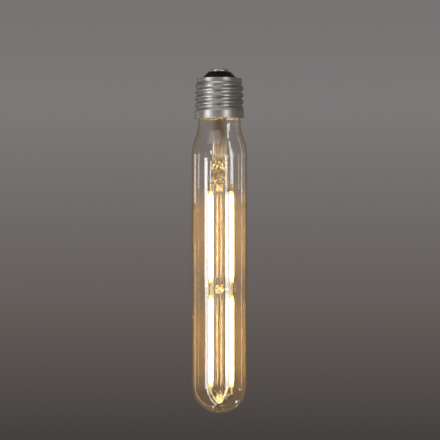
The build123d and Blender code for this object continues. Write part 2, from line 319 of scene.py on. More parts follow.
def nickelShell():
    # rolled sheet, nickel plated: bright, lines round the cap from the rolling, duller patches from handling
    material, tree = newMaterial("nickel-plated rolled sheet")
    metal = metalShader(tree, {0.3: "#b9b5ad", 0.7: "#d6d2ca"}, roughness=(0.3, 0.42), stretch=(0.08, 0.08, 1),
                        markSize=0.5, markDepth=0.012)[1]
    place = addNode(tree, "TexCoord")
    patches = addNode(tree, "TexNoise", {"Vector": place.outputs["Object"], "Scale": perMm(6), "Detail": 3.0})
    dull = addNode(tree, "MapRange", {0: patches.outputs[0], 1: 0.45, 2: 0.7, 3: 0.0, 4: 0.12})
    gloss = metal.inputs["Roughness"].links[0].from_socket
    total = addNode(tree, "Math", {0: gloss, 1: dull.outputs[0]}, operation="ADD")
    tree.links.new(total.outputs[0], metal.inputs["Roughness"])
    return material


def tinnedContact():
    # tinned brass, dulled by use: rings of fine scratches round its middle, drawn coarser than real ones
    material, tree = newMaterial("tinned brass contact")
    place = addNode(tree, "TexCoord")
    rings = addNode(tree, "TexWave", {
        "Vector": place.outputs["Object"], "Scale": perMm(6), "Distortion": 6.0, "Detail": 3.0,
    }, wave_type="RINGS", rings_direction="Z")
    ramp = addNode(tree, "ValToRGB", {0: rings.outputs[0]})
    addStops(ramp, {0.2: "#b3ab9b", 0.8: "#d4cdbd"})
    gloss = addNode(tree, "MapRange", {0: rings.outputs[0], 3: 0.28, 4: 0.45})
    bump = addNode(tree, "Bump", {"Height": rings.outputs[0], "Distance": 0.008 * mm})
    metal = addNode(tree, "BsdfPrincipled", {
        "Base Color": ramp.outputs[0], "Metallic": 1.0, "Roughness": gloss.outputs[0], "Normal": bump.outputs[0],
    })
    addNode(tree, "OutputMaterial", {"Surface": metal.outputs[0]})
    return material


def plainShader(name, stops, markSize, roughness, markDepth):
    # a moulded, pressed or printed surface: specks between two tones, gloss and bump from the same specks
    material, tree = newMaterial(name)
    place = addNode(tree, "TexCoord")
    specks = addNode(tree, "TexNoise", {
        "Vector": place.outputs["Object"], "Scale": perMm(markSize), "Detail": 5.0,
    })
    ramp = addNode(tree, "ValToRGB", {0: specks.outputs[0]})
    addStops(ramp, stops)
    gloss = addNode(tree, "MapRange", {0: specks.outputs[0], 1: 0.3, 2: 0.7, 3: roughness[0], 4: roughness[1]})
    bump = addNode(tree, "Bump", {"Height": specks.outputs[0], "Distance": markDepth * mm})
    body = addNode(tree, "BsdfPrincipled", {
        "Base Color": ramp.outputs[0], "Roughness": gloss.outputs[0], "Normal": bump.outputs[0],
    })
    addNode(tree, "OutputMaterial", {"Surface": body.outputs[0]})
    return material


# Camera: level, square on to the glass, framed as the photograph is

photo = {"pixels": 440, "pixelsPerMm": 1.86, "axisPixel": 219.4, "tipPixel": 413.5, "distance": 1000, "sensor": 36}


def makeCamera(look):
    # the view is pixels / pixelsPerMm wide at the bulb, so the lens is sensor * distance / that width
    data = bpy.data.cameras.new("camera")
    camera = bpy.data.objects.new("camera", data)
    bpy.context.scene.collection.objects.link(camera)
    middle = look["pixels"] / 2
    x = (middle - look["axisPixel"]) / look["pixelsPerMm"]
    z = tipZ + (look["tipPixel"] - middle) / look["pixelsPerMm"]
    width = look["pixels"] / look["pixelsPerMm"]
    data.sensor_width = look["sensor"]
    data.lens = look["sensor"] * look["distance"] / width
    camera.location = Vector((x, -look["distance"], z)) * mm
    camera.rotation_euler = (np.pi / 2, 0, 0)
    bpy.context.scene.camera = camera


envelopeLow, envelopeHigh = nodeBox("glass_envelope")
shellLow, shellHigh = nodeBox("screw_shell")
stemLow, stemHigh = nodeBox("stem")
rodLow, rodHigh = nodeBox("support_rod")
tipZ = envelopeLow[2]
rimZ = shellLow[2]
pressZ = stemLow[2]
makeCamera(photo)
print("camera set")


# Glass tube

tube = {"wall": 0.9, "neckRadius": 11.5, "neckBelowRim": 1.5, "shoulder": 18, "columns": 192,
        "settle": 0.05, "lumpSizes": (4.6, 5.3, 3.7)}


def glassTube(size):
    # half section: dome (quarter circle), straight tube, two-arc shoulder, neck, round edge, then the same inside
    outer = envelopeHigh[0]
    inner = outer - size["wall"]
    neck = size["neckRadius"]
    bore = neck - size["wall"]
    domeZ = tipZ + outer
    neckZ = rimZ - size["neckBelowRim"]
    shoulderZ = neckZ - size["shoulder"]
    edge = size["wall"] / 2
    edgeZ = envelopeHigh[2] - edge
    pole = -89.7          # degrees; the dome's arcs stop just short of the tip
    outside = joinRuns(
        arcRun((0, domeZ), outer, pole, 0, 64),
        straightRun((outer, domeZ), (outer, shoulderZ), 60),
        swayRun((outer, shoulderZ), (neck, neckZ), 20),
        straightRun((neck, neckZ), (neck, edgeZ), 8),
    )
    rounded = arcRun((neck - edge, edgeZ), edge, 0, 180, 9)
    inside = joinRuns(
        straightRun((bore, edgeZ), (bore, neckZ), 8),
        swayRun((inner, shoulderZ), (bore, neckZ), 20)[::-1],
        straightRun((inner, shoulderZ), (inner, domeZ), 60),
        arcRun((0, domeZ), inner, 0, pole, 64),
    )
    outline = joinRuns(outside, rounded, inside)
    within = (np.arange(len(outline)) > len(outside) + len(rounded) / 2)[:, None]
    points = spun(outline, size["columns"])
    x, y, z = np.moveaxis(points, 2, 0)
    # the blown tip settles thicker in lumps: the inner wall moves in by settle * (0.5 + sum of three cosines / 6)
    first, second, third = size["lumpSizes"]
    lumps = np.cos(turn * x / first + 0.8) + np.cos(turn * y / second) + np.cos(turn * (x - y) / third + 2)
    settled = within * softStep(domeZ - z, 0.5 * inner, 0.9 * inner) * (0.5 + lumps / 6)
    middle = np.array([0, 0, domeZ])
    points = middle + (points - middle) * (1 - size["settle"] / inner * settled)[..., None]
    makePiece("glass_tube", ["glass_envelope"], "envelope_glass", points, [drawnGlass(tubeGlass)],
              inside=np.broadcast_to(within, x.shape).astype(float))


glassTube(tube)
print("glass tube made")


# Stem: foot of the press, press, round tube, flare, and the bore back down

press = {"halfWidth": 4.45, "halfDepth": 2.2, "length": 11.3, "blend": 3.2, "squareness": 5.0, "edge": 0.7,
         "rowStep": 0.2, "columns": 144}
fold = {"pinch": 0.26, "height": 2.3, "sway": 0.4, "swayWidth": 5.1, "width": 2.2, "slant": 5.3}
stemTube = {"radius": 4.0, "bore": 3.1, "bottomRound": 1.0, "bottomFlat": 1.9, "rowStep": 0.5,
            "flareHeight": 8.0, "flareRim": 1.2, "flareWall": 0.9, "flareEdge": 0.2, "flareCurve": 1.6}
sideHole = {"radius": 1.3, "rise": 5.9, "depth": 2.0, "lip": (0.75, 1.1), "paintedGlowGap": (0.9, 1.3)}
# painted glow on the press, which stands in for filament light: heights up from its foot, and from its top for
# what fades there
pressPaintedGlow = {"crests": (0.1, 1.7), "dark": 0.95, "darkRise": 4.7, "darkHeight": 2.8, "gain": 0.3,
              "gainRise": (6.5, 9.0), "fade": (-0.6, 1.2), "lines": 0.17, "linesRise": (0.4, 1.8),
              "linesFade": (4.0, 16.0)}


def stemGlass(size, crease, shaft, hole, light):
    # each level is a superellipse |x/a|^n + |y/b|^n = 1; a, b and n run from the flat press to the round tube
    low, high, wide = pressZ, stemHigh[2], stemHigh[0]
    topZ = low + size["length"]
    roundZ = topZ + size["blend"]
    flareZ = high - shaft["flareHeight"]
    rimLow = high - shaft["flareRim"]
    edge, bore, turned = size["edge"], shaft["bore"], shaft["bottomRound"]
    pole = 0.05          # radius of the last small ring
    flat = straightRun((0.04, low), (0.92, low), 5)          # shares of the foot, out from its middle
    foot = arcRun((0, low + edge), edge, -90, 0, 8)
    inset = foot[:, 0] - edge
    flatEnd = np.array([size["halfWidth"], size["halfDepth"], size["squareness"]])
    roundEnd = np.array([shaft["radius"], shaft["radius"], 2])
    z = np.arange(low + edge, flareZ, size["rowStep"])
    blend = softStep(z, topZ, roundZ)[:, None]
    share = np.linspace(0, 1, 20)
    spread = share ** shaft["flareCurve"]
    outR = shaft["radius"] + (wide - shaft["radius"]) * spread
    inR = bore + (wide - shaft["flareWall"] - bore) * spread
    flareOut = np.stack([outR, flareZ + (rimLow - flareZ) * share], 1)
    flareIn = np.stack([inR, flareZ + (high - flareZ) * share], 1)
    boreZ = np.arange(flareZ, roundZ + turned, -shaft["rowStep"])
    upAndDown = np.vstack([
        flareOut,
        [[wide, high - shaft["flareEdge"]], [wide - shaft["flareEdge"], high]],
        flareIn[::-1],
        np.stack([np.full(len(boreZ), bore), boreZ], 1),
        arcRun((bore - turned, roundZ + turned), turned, 0, -90, 8),
        straightRun((shaft["bottomFlat"], roundZ), (pole, roundZ), 5),
    ])
    levels = joinRuns(
        np.stack([flat[:, 0] * (size["halfWidth"] - edge), flat[:, 0] * (size["halfDepth"] - edge),
                  np.full(len(flat), size["squareness"]), flat[:, 1]], 1),
        np.stack([size["halfWidth"] + inset, size["halfDepth"] + inset,
                  np.full(len(foot), size["squareness"]), foot[:, 1]], 1),
        np.column_stack([flatEnd + blend * (roundEnd - flatEnd), z]),
        np.column_stack([upAndDown[:, 0], upAndDown[:, 0], np.full(len(upAndDown), 2.0), upAndDown[:, 1]]),
    )
    a, b, n, z = (column[:, None] for column in levels.T)
    angle = roundAngles(size["columns"])
    reach = (np.abs(np.cos(angle) / a) ** n + np.abs(np.sin(angle) / b) ** n) ** (-1 / n)
    x = reach * np.cos(angle)
    y = reach * np.sin(angle)
    z = np.broadcast_to(z, x.shape)
    # two crossing cosines fold the faces of the press, out of step front and back
    onPress = softStep(z, low, low + 1) * (1 - softStep(z, topZ, roundZ))
    side = np.sign(y)
    swayed = z / crease["height"] + crease["sway"] * np.sin(turn * x / crease["swayWidth"] + side)
    folds = np.cos(turn * swayed) + np.cos(turn * (x / crease["width"] - z / crease["slant"]) + 2 * side)
    y = y * (1 - crease["pinch"] * onPress * (0.5 + 0.25 * folds))
    # painted glow at the crests, least in a band at the hole, and in faint painted lines up the tube
    fromHole = np.hypot(x, z - (low + hole["rise"])) / hole["radius"]
    band = 1 - light["dark"] * np.exp(-((z - low - light["darkRise"]) / light["darkHeight"]) ** 2)
    band *= 1 + light["gain"] * softStep(z - low, *light["gainRise"])
    crest = onPress * band * softStep(folds, *light["crests"]) * softStep(fromHole, *hole["paintedGlowGap"])
    crest *= 1 - softStep(z - topZ, *light["fade"])
    lines = 0.6 + 0.25 * np.cos(11 * angle) + 0.15 * np.cos(27 * angle + 1)
    lines = lines * softStep(z - topZ, *light["linesRise"]) * (1 - softStep(z - topZ, *light["linesFade"]))
    crest += light["lines"] * lines
    # the hole dents the front of the press
    y = np.where((y < 0) & (n > 2.5), y + hole["depth"] * (1 - softStep(fromHole, *hole["lip"])), y)
    makePiece("stem_glass", ["stem"], "mount_glass", np.stack([x, y, z], 2), [drawnPart, workedPart],
              pick=(z[:, 0] < roundZ).astype(np.int32), crest=crest)


exhaust = {"wall": 0.7, "tip": 1.6, "columns": 48}


def exhaustTube(size):
    # spun half section, drawn shut to a tip above, open end below
    low, high = nodeBox("exhaust_tube")
    lowZ, top = low[2], high[2]
    radius, bore = high[0], high[0] - size["wall"]
    tipFoot = top - size["tip"]
    boreTop = top - 2 * size["tip"]
    pole = 0.04          # radius of the last small ring
    outline = joinRuns(
        straightRun((bore, lowZ), (radius, lowZ), 3),
        straightRun((radius, lowZ), (radius, tipFoot), 30),
        straightRun((radius, tipFoot), (bore / 2, top), 6),
        straightRun((bore / 2, top), (pole, top), 3),
        straightRun((pole, tipFoot), (bore, boreTop), 6),
        straightRun((bore, boreTop), (bore, lowZ), 30)[:-1],
    )
    makePiece("exhaust_tube_glass", ["exhaust_tube"], "mount_glass", spun(outline, size["columns"]), [drawnPart],
              closed=True)


rod = {"radius": 1.6, "footBall": 2.1, "bead": 2.3, "beadHeight": 5.4, "head": 2.1, "headHeight": 5.2,
       "swell": 0.7, "lumps": 0.12, "headCalm": 0.6, "headPaintedGlow": 0.5, "footPaintedGlow": 0.9, "rowStep": 0.25,
       "columns": 64}


def supportRod(size):
    # spun rod on a ball; a bead adds (0.5 + 0.5 cos)^swell to the radius; two winding cosines lump what is worked
    low, high = rodLow[2], rodHigh[2]
    ball = size["footBall"]
    beadZ = sum(corner[2] for corner in nodeBox("mid_wire_left")) / 2
    headZ = pressZ - size["headHeight"] / 2
    footAngle = np.degrees(np.arccos(size["radius"] / ball))
    foot = arcRun((0, low + ball), ball, -88, footAngle, 24)
    z = np.append(np.arange(foot[-1, 1] + 0.2, high, size["rowStep"]), high)
    r = np.full(len(z), size["radius"])
    for bead, middleZ in {"bead": beadZ, "head": headZ}.items():
        share = np.clip(np.abs(z - middleZ) / (size[bead + "Height"] / 2), 0, 1)
        r += (size[bead] - size["radius"]) * (0.5 + 0.5 * np.cos(np.pi * share)) ** size["swell"]
    pole = 0.05          # radius of the last small ring
    end = straightRun((size["radius"] * 0.95, high), (pole, high), 4)
    outline = joinRuns(foot, np.stack([r, z], 1), end)
    z = outline[:, 1:]
    proud = outline[:, :1] - size["radius"]
    worked = np.where(z < low + ball, 1, np.clip(proud / 0.3, 0, 1))
    angle = roundAngles(size["columns"])
    lumps = np.cos(3 * angle + 2.1 * z) + np.cos(4 * angle - 3.3 * z)
    headShare = softStep(1 - np.abs(z - headZ) / (size["headHeight"] / 2), 0.1, 0.9)
    lumps *= 1 - size["headCalm"] * headShare          # the head is the smoothest bead
    points = spun(outline, size["columns"])
    points[..., :2] *= (1 - size["lumps"] * worked * (0.5 - 0.25 * lumps))[..., None]
    # painted glow at the crests of the lumps, most of all in the head and the foot
    footShare = 1 - softStep(z, low + ball, low + 2 * ball + 3)
    workedShare = np.maximum(np.clip(proud / 0.6, 0, 1), footShare)
    paintedGlowField = lumps + size["footPaintedGlow"] * footShare + size["headPaintedGlow"] * headShare
    crest = workedShare * (0.05 + 0.95 * softStep(paintedGlowField, -0.4, 1.6))
    makePiece("support_rod_glass", ["support_rod"], "mount_glass", points, [drawnPart, workedPart],
              pick=(workedShare[:, 0] > 0.1).astype(np.int32), crest=crest)


drawnPart = mountGlass("drawn lead glass", rodGlass)
workedPart = mountGlass("flame-worked lead glass", pressGlass)
stemGlass(press, fold, stemTube, sideHole, pressPaintedGlow)
exhaustTube(exhaust)
supportRod(rod)
print("stem, exhaust tube and rod made")


# Wires

wire = {"radius": 0.3, "bend": 0.7, "step": 0.15, "columns": 16}
route = {"straight": 2.0, "slopeEnd": 5.6, "splay": 2.0, "footHalf": 1.05, "sealFoot": 0.5}


def bentPath(corners, size):
    # straight runs, each corner replaced by a quadratic curve: (1-t)^2 a + 2t(1-t) corner + t^2 b
    corners = np.array(corners, float)
    back = corners[:-2] - corners[1:-1]
    ahead = corners[2:] - corners[1:-1]
    back *= size["bend"] / np.linalg.norm(back, axis=1, keepdims=True)
    ahead *= size["bend"] / np.linalg.norm(ahead, axis=1, keepdims=True)
    t = np.linspace(0, 1, 9)[None, :, None]
    middle = corners[1:-1, None]
    first = middle + back[:, None]
    last = middle + ahead[:, None]
    curves = (1 - t) ** 2 * first + 2 * t * (1 - t) * middle + t ** 2 * last
    points = np.vstack([corners[:1], curves.reshape(-1, 3), corners[-1:]])
    length = np.append(0, np.cumsum(np.linalg.norm(np.diff(points, axis=0), axis=1)))
    even = np.linspace(0, length[-1], int(length[-1] / size["step"]))
    return np.stack([np.interp(even, length, points[:, i]) for i in range(3)], 1)


def wirePiece(node, corners, size, material):
    # circle carried along the path; both ends are rounded off: scale = sqrt(1 - (1 - d / radius)^2)
    path = bentPath(corners, size)
    angle = roundAngles(size["columns"])
    section = size["radius"] * np.stack([np.cos(angle), np.sin(angle)], 1)
    count = np.arange(len(path))
    fromEnd = np.minimum(count, count[::-1]) * size["step"]
    scale = np.sqrt(np.clip(1 - (1 - np.clip(fromEnd / size["radius"], 0.05, 1)) ** 2, 0.02, 1))
    makePiece(node + "_drawn", [node], "nickel_wire", carried(path, section, scale), [material])


tabs = {side: nodeBox("strip_upper_" + side) for side in ("left", "right")}
tabX = {side: (low[0] + high[0]) / 2 for side, (low, high) in tabs.items()}
wireMetal = nickelWire(pressZ + route["sealFoot"], pressZ + press["length"])
for side in ("left", "right"):
    low, high = nodeBox("lead_wire_" + side)
    x = high[0] - wire["radius"] if side == "left" else low[0] + wire["radius"]
    backY = high[1] - wire["radius"]
    wirePiece("lead_wire_" + side, [
        (x, backY, high[2]), (x, backY, high[2] - route["straight"]), (x, 0, high[2] - route["slopeEnd"]),
        (x, 0, pressZ - wire["bend"]), (tabX[side], 0, pressZ - route["splay"]), (tabX[side], 0, low[2]),
    ], wire, wireMetal)
    low, high = nodeBox("mid_wire_" + side)
    z = (low[2] + high[2]) / 2
    wirePiece("mid_wire_" + side, [
        (low[0], 0, z), ((low[0] + high[0]) / 2, 0, z), (high[0], 0, z),
    ], wire, wireMetal)
low, high = nodeBox("foot_wire")
footZ = low[2] + wire["radius"]
legZ = nodeBox("strip_lower_left")[0][2] + wire["bend"]
wirePiece("foot_wire", [
    (tabX["left"], 0, high[2]), (tabX["left"], 0, legZ), (-route["footHalf"], 0, footZ),
    (route["footHalf"], 0, footZ), (tabX["right"], 0, legZ), (tabX["right"], 0, high[2]),
], wire, wireMetal)
print("wires made")


# Filaments: phosphor coats on plated strips

filament = {"end": 0.3, "darkEnd": 0.7, "rise": 4.0, "glow": 600.0, "endGlow": 0.8, "colour": "#ffeab4",
            "endColour": "#fff08a", "tip": 2.2, "chipStep": 1.75, "chipRipple": 0.2, "grain": 0.4,
            "grainDepth": 0.03, "rowStep": 0.35, "columns": 40}
strip = {"squareness": 6.0, "weld": 0.06, "weldRadius": 0.5, "weldIn": 0.6, "thinnest": 0.02, "rows": 240,
         "columns": 24}


def litPhosphor(look):
    # silicone with yellow phosphor over a row of light chips: white hot along the middle, yellow at its dark
    # ends; the grains are hundredths of a millimetre in life, and drawn coarser so that they show
    material, tree = newMaterial("silicone with phosphor, lit")
    along = addNode(tree, "Attribute", attribute_name="along").outputs["Fac"]
    fullGlow = look["darkEnd"] + look["rise"]
    rise = addNode(tree, "MapRange", {
        0: along, 1: look["darkEnd"], 2: fullGlow, 3: look["endGlow"] / look["glow"],
    }, interpolation_type="SMOOTHERSTEP")
    inward = addNode(tree, "MapRange", {0: along, 1: look["darkEnd"], 2: fullGlow})
    hue = addNode(tree, "ValToRGB", {0: inward.outputs[0]})
    addStops(hue, {0.0: look["endColour"], 1.0: look["colour"]})
    chips = addNode(tree, "Math", {0: along, 1: turn / look["chipStep"]}, operation="MULTIPLY")
    wave = addNode(tree, "Math", {0: chips.outputs[0]}, operation="COSINE")
    ripple = addNode(tree, "Math", {0: wave.outputs[0], 1: look["chipRipple"], 2: 1.0}, operation="MULTIPLY_ADD")
    share = addNode(tree, "Math", {0: rise.outputs[0], 1: ripple.outputs[0]}, operation="MULTIPLY")
    shine = addNode(tree, "VectorMath", {0: hue.outputs[0], "Scale": share.outputs[0]}, operation="SCALE")
    place = addNode(tree, "TexCoord")
    grains = addNode(tree, "TexNoise", {
        "Vector": place.outputs["Object"], "Scale": perMm(look["grain"]), "Detail": 2.0,
    })
    ramp = addNode(tree, "ValToRGB", {0: grains.outputs[0]})
    addStops(ramp, {0.35: "#d2b040", 0.65: "#ead070"})
    bump = addNode(tree, "Bump", {"Height": grains.outputs[0], "Distance": look["grainDepth"] * mm})
    coat = addNode(tree, "BsdfPrincipled", {
        "Base Color": ramp.outputs[0], "Roughness": 0.45, "IOR": 1.41, "Normal": bump.outputs[0],
        "Emission Color": shine.outputs[0], "Emission Strength": look["glow"],
    })
    addNode(tree, "OutputMaterial", {"Surface": coat.outputs[0]})
    return material


def coatPiece(node, look, material):
    # stadium section: a circle whose halves move apart by flat * tanh(4 cos a); each end is rounded in by an arc
    low, high = nodeBox(node)
    middle = (low + high) / 2
    half = (high - low) / 2
    end = look["end"]
    angle = roundAngles(look["columns"])
    flat = half[0] - half[1]
    x = half[1] * np.cos(angle) + flat * np.tanh(4 * np.cos(angle)) / np.tanh(4)
    y = half[1] * np.sin(angle)
    z = np.concatenate([
        low[2] + end * np.linspace(0, 1, 5),
        np.arange(low[2] + 2 * end, high[2] - 2 * end, look["rowStep"]),
        high[2] - end * np.linspace(1, 0, 5),
    ])[:, None]
    fromEnd = np.minimum(z - low[2], high[2] - z)
    inset = end - np.sqrt(np.clip(end ** 2 - np.clip(end - fromEnd, 0, None) ** 2, 0, None))
    points = np.stack(np.broadcast_arrays(
        middle[0] + x * (1 - inset / half[0]), middle[1] + y * (1 - inset / half[1]), z), 2)
    along = fromEnd - look["tip"] * (x / half[0]) ** 2          # the dark end reaches further in at the sides
    makePiece(node + "_coat", [node], "phosphor", points, [material], along=along)


def stripPiece(node, size, material):
    # superellipse section carried down, with a shallow weld dent where a wire meets each tab
    low, high = nodeBox(node)
    middle = (low + high) / 2
    half = (high - low) / 2
    angle = roundAngles(size["columns"])
    power = 2 / size["squareness"]
    x = half[0] * np.sign(np.cos(angle)) * np.abs(np.cos(angle)) ** power
    y = half[1] * np.sign(np.sin(angle)) * np.abs(np.sin(angle)) ** power
    z = np.linspace(low[2], high[2], size["rows"])[:, None]
    toWeld = np.minimum(np.abs(z - low[2] - size["weldIn"]), np.abs(z - high[2] + size["weldIn"]))
    away = np.hypot(toWeld, x) / size["weldRadius"]
    dent = size["weld"] * (1 - softStep(away, 0, 1))
    depth = np.sign(y) * np.clip(np.abs(y) - dent, size["thinnest"], None)
    points = np.stack(np.broadcast_arrays(middle[0] + x, middle[1] + depth, z), 2)
    makePiece(node + "_metal", [node], "strip_metal", points, [material])


phosphor = litPhosphor(filament)
stripMetal = platedStrip()
for tier in ("upper", "lower"):
    for side in ("left", "right"):
        coatPiece(f"filament_{tier}_{side}", filament, phosphor)
        stripPiece(f"strip_{tier}_{side}", strip, stripMetal)
print("filaments made")


# Screw cap

shell = {"wall": 0.3, "edge": 0.14, "pitch": 25.4 / 7, "depth": 0.95, "crest": 13.1, "sharpness": 1.4,
         "root": 0.06, "skirt": 4.2, "step": 0.9, "slope": 2.2, "topRadius": 10.975, "topEdge": 0.1, "lip": 9.8,
         "start": 200.0, "startRise": 3.75, "runIn": (3.4, 4.4), "runOut": (-2.2, 0.4), "columns": 224}


def screwShell(size):
    # plain half section spun, then r grows by depth * wave((z - start) / pitch - angle), a right-hand helix
    skirtR, rim, top = shellHigh[0], rimZ, shellHigh[2]
    wall, edge, topR = size["wall"], size["edge"], size["topRadius"]
    rootR = size["crest"] - size["depth"]
    skirtZ = rim + size["skirt"]
    stepZ = skirtZ + size["step"]
    slopeZ = top - size["slope"]
    outside = joinRuns(
        arcRun((skirtR - edge, rim + edge), edge, -90, 0, 5),
        straightRun((skirtR, rim + edge), (skirtR, skirtZ), 30),
        straightRun((skirtR, skirtZ), (rootR, stepZ), 10),
        straightRun((rootR, stepZ), (rootR, slopeZ), 120),
    )
    drop = rootR - topR
    angle = np.radians(np.linspace(0, 90, 20))
    shoulder = np.stack([rootR - drop * (1 - np.cos(angle)), slopeZ + size["slope"] * np.sin(angle)], 1)
    inside = joinRuns(
        straightRun((topR - size["topEdge"], top), (size["lip"], top), 6),
        straightRun((size["lip"], top - wall), (topR - wall, top - wall), 4),
        straightRun((topR - wall, top - wall), (rootR - wall, slopeZ), 6),
        straightRun((rootR - wall, slopeZ), (rootR - wall, stepZ), 20),
        straightRun((rootR - wall, stepZ), (skirtR - wall, skirtZ), 6),
        straightRun((skirtR - wall, skirtZ), (skirtR - wall, rim), 12),
    )
    outline = joinRuns(outside, shoulder, inside)
    points = spun(outline, size["columns"])
    facing = np.arange(len(outline)) < len(outside) + len(shoulder) - 1
    r = outline[:, :1]
    z = outline[:, 1:]
    bearing = np.arange(size["columns"]) / size["columns"] - size["start"] / 360
    wave = np.cos(turn * ((z - rim - size["startRise"]) / size["pitch"] - bearing))
    ridge = 0.5 + 0.5 * np.tanh(size["sharpness"] * wave) / np.tanh(size["sharpness"])
    height = size["depth"] * (1 - softStep(z - slopeZ, *size["runOut"])) * softStep(z - rim, *size["runIn"])
    grown = softMax(np.broadcast_to(r, wave.shape), rootR + height * ridge, size["root"])
    scale = np.where(facing[:, None] & (z > rim + size["runIn"][0]), grown / r, 1)
    scale = np.minimum(scale, skirtR / r)
    points[..., :2] *= scale[..., None]
    makePiece("screw_shell_rolled", ["screw_shell"], "cap_metal", points, [nickelShell()], closed=True)


insulator = {"cone": 9.7, "coneFoot": 0.3, "top": 6.3, "flange": 2.4, "hole": 1.8, "edge": 0.35, "edgeProud": 0.1,
             "edgeStart": 43, "ribs": 24, "ribHeight": 0.12, "ribFoot": (0.0, 0.7), "ribTop": (-1.1, -0.4),
             "columns": 240}


def capInsulator(size):
    # spun half section with rounded rims; shallow moulded ribs run down the cone as a cosine of the angle
    low, high = nodeBox("cap_insulator")
    flangeR, topZ, lowZ = high[0], high[2], low[2]
    lipZ = lowZ + size["flange"]
    coneZ = lipZ + size["coneFoot"]
    cone, upper, hole, edge = size["cone"], size["top"], size["hole"], size["edge"]
    outline = joinRuns(
        straightRun((hole, lowZ), (flangeR, lowZ), 6),
        straightRun((flangeR, lowZ), (flangeR, lipZ), 6),
        straightRun((flangeR, lipZ), (cone, lipZ), 4),
        straightRun((cone, lipZ), (cone, coneZ), 3),
        straightRun((cone, coneZ), (upper + size["edgeProud"], topZ - edge), 40),
        arcRun((upper - edge, topZ - edge), edge, size["edgeStart"], 90, 8),
        straightRun((upper - edge, topZ), (hole, topZ), 16),
        straightRun((hole, topZ), (hole, lowZ), 12)[:-1],
    )
    points = spun(outline, size["columns"])
    r = outline[:, :1]
    z = outline[:, 1:]
    ribs = 0.5 + 0.5 * np.cos(size["ribs"] * roundAngles(size["columns"]))
    onCone = softStep(z - coneZ, *size["ribFoot"]) * (1 - softStep(z - topZ, *size["ribTop"])) * (r > upper)
    points[..., :2] *= (1 - size["ribHeight"] * onCone * ribs / r)[..., None]
    makePiece("cap_insulator_moulded", ["cap_insulator"], "insulator_black", points, [blackGlass], closed=True)


contact = {"edge": 0.5, "height": 1.4, "pin": 1.7, "pinBore": 0.35, "groove": 2.6, "grooveWidth": 0.22,
           "grooveDepth": 0.12, "columns": 96}


def centreContact(size):
    # spun half section: pin, underside, rounded rim, flat face with a pressed groove, depth * exp(-(d / width)^2)
    low, high = nodeBox("centre_contact")
    radius, faceZ, lowZ = high[0], high[2], low[2]
    under = faceZ - size["height"]
    blindZ = (lowZ + under) / 2
    edge, pin, bore = size["edge"], size["pin"], size["pinBore"]
    pole = 0.04          # radius of the last small ring
    faceR = np.linspace(radius - edge, pole, 60)
    groove = size["grooveDepth"] * np.exp(-((faceR - size["groove"]) / size["grooveWidth"]) ** 2)
    outline = joinRuns(
        straightRun((pole, blindZ), (bore, blindZ), 3),
        straightRun((bore, blindZ), (bore, lowZ), 6),
        straightRun((bore, lowZ), (pin, lowZ), 3),
        straightRun((pin, lowZ), (pin, under), 10),
        straightRun((pin, under), (radius, under), 6),
        straightRun((radius, under), (radius, faceZ - edge), 5),
        arcRun((radius - edge, faceZ - edge), edge, 0, 90, 10),
        np.stack([faceR, faceZ - groove], 1),
    )
    makePiece("centre_contact_pressed", ["centre_contact"], "contact_metal", spun(outline, size["columns"]),
              [tinnedContact()])


# pressed while hot: deep black, glossy, with slow flow marks
blackGlass = plainShader("black moulded glass", {0.3: "#0b0a0c", 0.7: "#171519"},
                         markSize=1.5, roughness=(0.08, 0.2), markDepth=0.02)
screwShell(shell)
capInsulator(insulator)
centreContact(contact)
print("screw cap made")


# Pieces that keep their CAD shape

# filled epoxy: black, matt from the mould, faintly grainy
boxEpoxy = plainShader("moulded epoxy package", {0.3: "#121214", 0.7: "#1d1d20"},
                       markSize=0.3, roughness=(0.55, 0.7), markDepth=0.01)
leadMetal = tinnedLead()
innerFinish = {
    # baked putty: sandy and quite matt
    "cap_cement": plainShader("basing cement", {0.3: "#b9ab8c", 0.7: "#d8cdb2"},
                              markSize=0.6, roughness=(0.75, 0.95), markDepth=0.08),
    # green lacquer over woven glass: half gloss, faintly mottled
    "driver_board": plainShader("glass-epoxy board", {0.35: "#123d22", 0.65: "#1f5a33"},
                                markSize=0.8, roughness=(0.3, 0.5), markDepth=0.01),
    # sleeve shrunk tight over a can: smooth blue-black
    "smoothing_capacitor": plainShader("shrunk vinyl sleeve", {0.3: "#12141c", 0.7: "#20232e"},
                                       markSize=1.0, roughness=(0.3, 0.45), markDepth=0.01),
    # dipped lacquer: uneven grey-green
    "fuse_resistor": plainShader("lacquered ceramic", {0.3: "#5c7268", 0.7: "#718a7e"},
                                 markSize=0.7, roughness=(0.4, 0.55), markDepth=0.02),
    "bridge_rectifier": boxEpoxy, "driver_chip": boxEpoxy, "contact_lead": leadMetal, "shell_lead": leadMetal,
}
for node, material in innerFinish.items():
    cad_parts[node].material_slots[0].material = material
print("inner finishes set")


# Studio: pale floor, plain grey surroundings, tall soft strips

# edge is a dark warm colour that paints shade on the glass's rims
studio = {"floorDrop": 300, "floorRadius": 1150, "floorFade": 850, "floor": "#d9d5cf", "rings": 24, "columns": 96,
          "fill": 0.35, "fillTint": "#fffaf4", "edge": "#74603f", "greySpan": (-0.5, 0.6),
          "greys": {0.0: "#5a5653", 0.27: "#4a4643", 0.35: "#45413e", 0.41: "#625c59", 0.51: "#7c7979",
                    0.8: "#524f4e"}}
# each rig: how far off its strips stand, and the height on the bulb that they face
rigs = {"far": (1300, -81), "near": (290, -175), "over": (1300, -20)}
